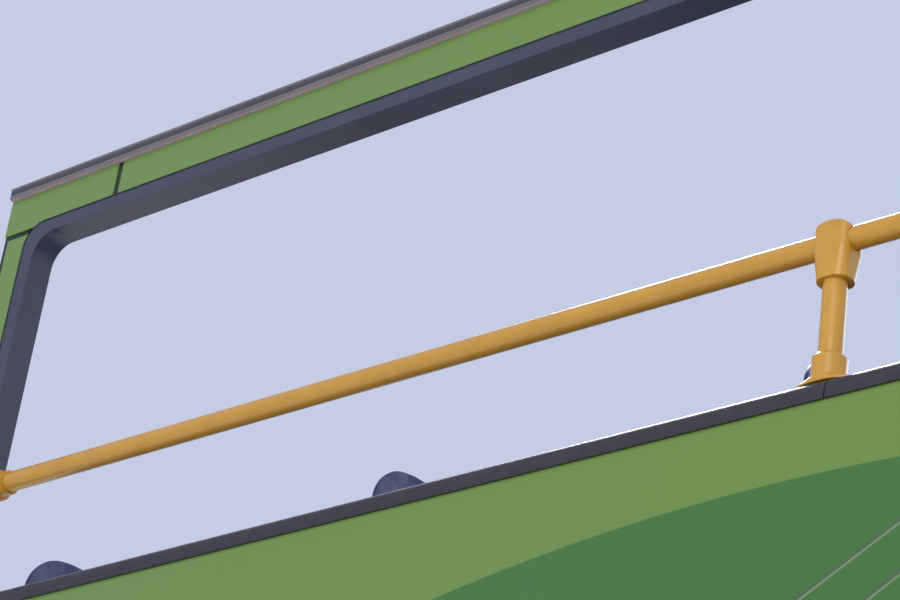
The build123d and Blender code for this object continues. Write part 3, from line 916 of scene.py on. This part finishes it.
class DECKBAY_OT_window_seals(bpy.types.Operator):
    """Lays a rubber bead in the joint round each window frame"""

    bl_idname = "deck_bay.window_seals"
    bl_label = "Window seals"

    def execute(self, context):
        joint = PANEL_GAP / 2
        reach = frame_box[1].x + joint
        top = frame_box[1].z + joint
        corner = FRAME_CORNER + joint
        contour = [(reach, capping_box[1].z - SEAL_LEG)]
        contour += arc((reach - corner, top - corner), corner, 0, 90, CORNER_STEPS)
        contour += [(-x, z) for x, z in contour[::-1]]
        paths = [[(x, side * (skin_outer - SEAL_DEPTH), z) for x, z in contour] for side in SIDES]
        beads = bead_mesh(paths, context.scene.deck_bay_sizes.seal_radius, False)
        finish_piece("window_seals", beads, "rubber", True)
        return {"FINISHED"}


# Gutter strips: how far they end short of the bay, and how far the insert's middle is below the top.
# Their sections are places out of the skin's face and up from that middle or from the underside.
STRIP_INSET = 0.001
INSERT_DEPTH = 0.009
# lower lip of the groove, swell of the rubber, upper lip
INSERT_SECTION = (
    (0.0055, -0.0034),
    (0.0084, -0.0054),
    (0.0093, -0.0040),
    (0.0096, -0.0010),
    (0.0096, 0.0025),
    (0.0093, 0.0045),
    (0.0084, 0.0052),
    (0.0055, 0.0034),
)
# in the panel, down its face, out along the bead, up in the gutter
SEALANT_SECTION = (
    (-0.0005, 0.0003),
    (-0.0005, -0.0026),
    (0.0010, -0.0025),
    (0.0035, -0.0020),
    (0.0062, -0.0011),
    (0.0080, -0.0001),
    (0.0080, 0.0003),
)


class DECKBAY_OT_gutter_inserts(bpy.types.Operator):
    """Presses a rubber insert into the recess of each gutter"""

    bl_idname = "deck_bay.gutter_inserts"
    bl_label = "Gutter inserts"

    def execute(self, context):
        middle = gutter_box[1].z - INSERT_DEPTH
        section = [(skin_outer + out, middle + up) for out, up in INSERT_SECTION]
        side_strips("gutter_inserts", section, "charcoal_capping", STRIP_INSET)
        return {"FINISHED"}


class DECKBAY_OT_gutter_sealant(bpy.types.Operator):
    """Tools a bead of sealant into the corner under each gutter, pale so that it paints light over the
    gutter's shaded underside
    """

    bl_idname = "deck_bay.gutter_sealant"
    bl_label = "Gutter sealant"

    def execute(self, context):
        section = [(skin_outer + out, gutter_box[0].z + up) for out, up in SEALANT_SECTION]
        side_strips("gutter_sealant", section, "sealant", STRIP_INSET)
        return {"FINISHED"}


# How far a strip sinks into what carries it, the angle where the cove meets the lining, in degrees, and
# the sizes of the trim on its edge
SUNK = 0.0005
COVE_END = -4
TRIM_LAP = 0.002
TRIM_HEIGHT = 0.008
TRIM_THICKNESS = 0.0028
TRIM_ROUND = 0.0015
TRIM_STEPS = 4


class DECKBAY_OT_floor_coves(bpy.types.Operator):
    """Turns the floor vinyl up the linings in a cove, with a metal trim on its edge"""

    bl_idname = "deck_bay.floor_coves"
    bl_label = "Floor coves"

    def execute(self, context):
        radius = context.scene.deck_bay_sizes.cove_radius
        start = lining_inner - radius
        top = floor_top + radius
        cove = [(lining_inner + SUNK, floor_top - SUNK), (start, floor_top - SUNK)]
        cove += arc((start, top), radius, -90, COVE_END, CORNER_STEPS)
        cove.append((lining_inner + SUNK, top))
        face = lining_inner - TRIM_THICKNESS
        high = top + TRIM_HEIGHT
        trim = [(lining_inner + SUNK, top - TRIM_LAP), (face, top - TRIM_LAP)]
        trim += arc((face + TRIM_ROUND, high - TRIM_ROUND), TRIM_ROUND, 180, 90, TRIM_STEPS)
        trim.append((lining_inner + SUNK, high))
        side_strips("floor_coves", cove, "floor_vinyl", 0)
        side_strips("cove_trims", trim, "gutter_aluminium", 0)
        return {"FINISHED"}


# Strips over the lining's joints: half width, thickness, what is left of it at the edges, width of the
# bevel there, and room above the cove and below the capping
JOINT_HALF = 0.014
JOINT_THICKNESS = 0.0018
JOINT_EDGE = 0.0006
JOINT_BEVEL = 0.003
ROOM_BELOW = 0.010
ROOM_ABOVE = 0.002


class DECKBAY_OT_lining_joints(bpy.types.Operator):
    """Covers the joints of the wall linings with upright metal strips"""

    bl_idname = "deck_bay.lining_joints"
    bl_label = "Lining joints"

    def execute(self, context):
        low = floor_top + context.scene.deck_bay_sizes.cove_radius + ROOM_BELOW
        high = capping_box[0].z - ROOM_ABOVE
        between = (plate_box[0].x + plate_box[1].x) / 2 - ROW_PLACES[0]
        # places along the bus and out of the lining
        edge = [(JOINT_HALF, -SUNK), (JOINT_HALF, JOINT_EDGE), (JOINT_HALF - JOINT_BEVEL, JOINT_THICKNESS)]
        section = [(-along, out) for along, out in edge] + edge[::-1]
        shape = bmesh.new()
        for near, far in zip(ROW_PLACES, ROW_PLACES[1:]):
            middle = (near + far) / 2 + between
            for side in SIDES:
                outline = [(middle + along, side * (lining_inner - out)) for along, out in section]
                add_skin(shape, [[(x, y, z) for x, y in outline] for z in (low, high)])
        finish_piece("lining_joints", mesh_of(shape, "lining_joints"), "gutter_aluminium", False)
        return {"FINISHED"}


# distance out of a tube's end, half width and corner radius of its plug's outline there
PLUG_RINGS = (
    (-0.001, 0.0148, 0.003),
    (0.0016, 0.0148, 0.003),
    (0.0026, 0.0138, 0.0026),
    (0.003, 0.0120, 0.002),
)


class DECKBAY_OT_tube_plugs(bpy.types.Operator):
    """Closes the aisle ends of the seat tubes with rubber plugs"""

    bl_idname = "deck_bay.tube_plugs"
    bl_label = "Tube plugs"

    def execute(self, context):
        shape = bmesh.new()
        for row_place in ROW_PLACES:
            for tube in TUBE_PLACES:
                for side in SIDES:
                    loops = []
                    for out, half, corner in PLUG_RINGS:
                        y = side * (TUBE_END - out)
                        ring = rounded_square(half, corner)
                        loops.append([(row_place + tube + x, y, TUBE_LINE + z) for x, z in ring])
                    add_skin(shape, loops)
        finish_piece("tube_plugs", mesh_of(shape, "tube_plugs"), "rubber", False)
        return {"FINISHED"}


# Rivets: their height on the skin, the room past the last one, and a head's height and sides
RIVET_LINE = 0.045
RIVET_ROOM = 0.03
RIVET_HEAD = 0.0018
RIVET_SIDES = 14


class DECKBAY_OT_skin_rivets(bpy.types.Operator):
    """Rivets the side skins to the deck edge rails"""

    bl_idname = "deck_bay.skin_rivets"
    bl_label = "Skin rivets"

    def execute(self, context):
        sizes = context.scene.deck_bay_sizes
        radius = sizes.rivet_radius
        reach = half_length - RIVET_ROOM
        count = round(2 * reach / sizes.rivet_pitch)
        places = []
        for side in SIDES:
            for step in range(count + 1):
                along = reach * (2 * step / count - 1)
                places.append(((along, side * skin_outer, RIVET_LINE), (0, side, 0)))
        add_fasteners("skin_rivets", True, places, radius, RIVET_HEAD, RIVET_SIDES, "gutter_aluminium")
        return {"FINISHED"}


# Bolts: half spacing along and across on a foot, half spacing, depth in from the lining and height on a
# wall plate, half spacing on a shell, half a washer's thickness, and a head's height and sides
FOOT_BOLTS = (0.092, 0.031)
PLATE_BOLTS = 0.115
PLATE_FACE = 0.0092
PLATE_LINE = 0.468
SHELL_BOLTS = 0.1
WASHER_HALF = 0.0012
BOLT_HEAD = 0.006
BOLT_SIDES = 6


class DECKBAY_OT_seat_bolts(bpy.types.Operator):
    """Bolts the seats to the floor, to the walls and to their own frames"""

    bl_idname = "deck_bay.seat_bolts"
    bl_label = "Seat bolts"

    def execute(self, context):
        foot_along, foot_across = FOOT_BOLTS
        under = TUBE_LINE - TUBE_HALF - WASHER_HALF
        places = []
        for row_place in ROW_PLACES:
            foot = row_place + FOOT_MIDDLE
            for side in SIDES:
                for along in (-foot_along, foot_along):
                    for across in (-foot_across, foot_across):
                        y = side * (LEG_LINE + across)
                        places.append(((foot + along, y, FOOT_TOP + WASHER_HALF), (0, 0, 1)))
                for along in (-PLATE_BOLTS, PLATE_BOLTS):
                    plate = (foot + along, side * (lining_inner - PLATE_FACE), PLATE_LINE)
                    places.append((plate, (0, -side, 0)))
                for tube in TUBE_PLACES:
                    for line in SEAT_LINES:
                        for across in (-SHELL_BOLTS, SHELL_BOLTS):
                            places.append(((row_place + tube, side * (line + across), under), (0, 0, -1)))
        radius = context.scene.deck_bay_sizes.bolt_radius
        add_fasteners("seat_bolts", False, places, radius, BOLT_HEAD, BOLT_SIDES, "zinc")
        return {"FINISHED"}


# Screws: in a socket's collar, along the bus and in from the rail's line; on a post base's flare, along,
# up from the capping and the way it faces; in a tee, in and down from the rail's line; a head's sizes
COLLAR_ALONG = 1.724
COLLAR_IN = 0.0221
FLARE_ALONG = 0.040
FLARE_UP = 0.0078
FLARE_WAY = (0.326, 0.945)
TEE_IN = 0.0236
TEE_DOWN = 0.03
SCREW_HEAD = 0.0016
SCREW_SIDES = 16


class DECKBAY_OT_rail_screws(bpy.types.Operator):
    """Fixes the handrails with screws in their sockets, tees and post bases"""

    bl_idname = "deck_bay.rail_screws"
    bl_label = "Rail screws"

    def execute(self, context):
        places = []
        for side in SIDES:
            for end in ENDS:
                collar = (end * COLLAR_ALONG, side * (rail_line - COLLAR_IN), rail_height)
                places.append((collar, (0, -side, 0)))
                flare = (end * FLARE_ALONG, side * rail_line, capping_box[1].z + FLARE_UP)
                places.append((flare, (end * FLARE_WAY[0], 0, FLARE_WAY[1])))
            tee = (0, side * (rail_line - TEE_IN), rail_height - TEE_DOWN)
            places.append((tee, (0, -side, 0)))
        radius = context.scene.deck_bay_sizes.screw_radius
        add_fasteners("rail_screws", True, places, radius, SCREW_HEAD, SCREW_SIDES, "zinc")
        return {"FINISHED"}


# name, setting with its watts, place, point that it faces, and side of each area light
LIGHTS = (
    ("front_light", "front_power", (3.0, -7.4, 2.6), (0, -1.2, 1.0), 4.4),
    ("rim_light", "rim_power", (-4.2, 2.9, 6.7), (-0.1, -1.2, 1.2), 1.4),
    ("back_light", "back_power", (-0.4, 6.4, 5.8), (0, 0, 1.0), 4.5),
)
# degrees, narrow enough that no light's own plane draws an edge on the stage floor
LIGHT_SPREAD = 125
# Camera of the photograph: lens and sensor in millimetres, nearest thing seen and place in metres, and
# its right, up and back as columns
LENS = 116.84
SENSOR_WIDTH = 36
NEAREST = 0.005
CAMERA_PLACE = (2.0245, -4.0406, -0.8829)
CAMERA_TURN = ((0.7597, 0.2306, 0.6080), (0.6376, -0.4477, -0.6269), (0.1276, 0.8639, -0.4872))


class DECKBAY_OT_stage(bpy.types.Operator):
    """Sets the floor, the light and the camera"""

    bl_idname = "deck_bay.stage"
    bl_label = "Stage"

    def execute(self, context):
        scene = context.scene
        settings = scene.deck_bay_stage
        colours = scene.deck_bay_colours
        half = settings.floor_size / 2
        mesh = bpy.data.meshes.new("stage_floor")
        corners = ((-half, -half), (half, -half), (half, half), (-half, half))
        mesh.from_pydata([(x, y, settings.floor_height) for x, y in corners], [], [(0, 1, 2, 3)])
        mesh.materials.append(new_material(stage_floor, colours))
        floor = put_in_scene("stage_floor", mesh)

        world = bpy.data.worlds.new("studio")
        scene.world = world
        world.use_nodes = True
        tree = world.node_tree
        tree.nodes.clear()
        add = partial(add_node, tree)
        path = add("ShaderNodeLightPath").outputs
        rays = {0: path["Is Camera Ray"], 1: path["Is Glossy Ray"]}
        straight = add("ShaderNodeMath", rays, operation="MAXIMUM")
        rays = {0: straight, 1: path["Is Transmission Ray"]}
        seen = add("ShaderNodeMath", rays, operation="MAXIMUM")
        light = add("ShaderNodeBackground", {"Color": (1, 1, 1), "Strength": settings.ambient})
        pale = add("ShaderNodeBackground", {"Color": colours.backdrop, "Strength": 1})
        mixed = add("ShaderNodeMixShader", {0: seen, 1: light, 2: pale})
        add("ShaderNodeOutputWorld", {"Surface": mixed})

        for name, power, place, target, size in LIGHTS:
            data = bpy.data.lights.new(name, "AREA")
            data.energy = getattr(settings, power)
            data.size = size
            data.spread = radians(LIGHT_SPREAD)
            area = put_in_scene(name, data)
            area.location = place
            area.rotation_euler = (Vector(target) - Vector(place)).to_track_quat("-Z", "Y").to_euler()

        data = bpy.data.cameras.new("photo_camera")
        data.lens = LENS
        data.sensor_width = SENSOR_WIDTH
        data.clip_start = NEAREST
        camera = put_in_scene("photo_camera", data)
        camera.matrix_world = Matrix.Translation(CAMERA_PLACE) @ Matrix(CAMERA_TURN).to_4x4()
        scene.camera = camera
        scene.view_settings.view_transform = "Standard"
        return {"FINISHED"}


OPERATORS = (
    DECKBAY_OT_stage,
    DECKBAY_OT_finishes,
    DECKBAY_OT_seat_pads,
    DECKBAY_OT_window_seals,
    DECKBAY_OT_gutter_inserts,
    DECKBAY_OT_gutter_sealant,
    DECKBAY_OT_floor_coves,
    DECKBAY_OT_lining_joints,
    DECKBAY_OT_tube_plugs,
    DECKBAY_OT_skin_rivets,
    DECKBAY_OT_seat_bolts,
    DECKBAY_OT_rail_screws,
)


class DECKBAY_PT_sidebar(bpy.types.Panel):
    """Lists the pieces of the bay with their sizes and colours"""

    bl_idname = "DECKBAY_PT_sidebar"
    bl_label = "Deck bay"
    bl_space_type = "VIEW_3D"
    bl_region_type = "UI"
    bl_category = "Deck bay"

    def draw(self, context):
        for operator in OPERATORS:
            self.layout.operator(operator.bl_idname)
        scene = context.scene
        for settings in (scene.deck_bay_colours, scene.deck_bay_sizes, scene.deck_bay_stage):
            column = self.layout.column()
            for name in settings.__annotations__:
                column.prop(settings, name)


CLASSES = (DeckBayColours, DeckBaySizes, DeckBayStage, *OPERATORS, DECKBAY_PT_sidebar)


def register():
    for item in CLASSES:
        bpy.utils.register_class(item)
    bpy.types.Scene.deck_bay_colours = PointerProperty(type=DeckBayColours)
    bpy.types.Scene.deck_bay_sizes = PointerProperty(type=DeckBaySizes)
    bpy.types.Scene.deck_bay_stage = PointerProperty(type=DeckBayStage)


def unregister():
    del bpy.types.Scene.deck_bay_stage
    del bpy.types.Scene.deck_bay_sizes
    del bpy.types.Scene.deck_bay_colours
    for item in reversed(CLASSES):
        bpy.utils.unregister_class(item)


def main():
    register()
    for operator in OPERATORS:
        getattr(bpy.ops.deck_bay, operator.bl_idname.split(".")[1])()


if __name__ == "__main__":
    main()
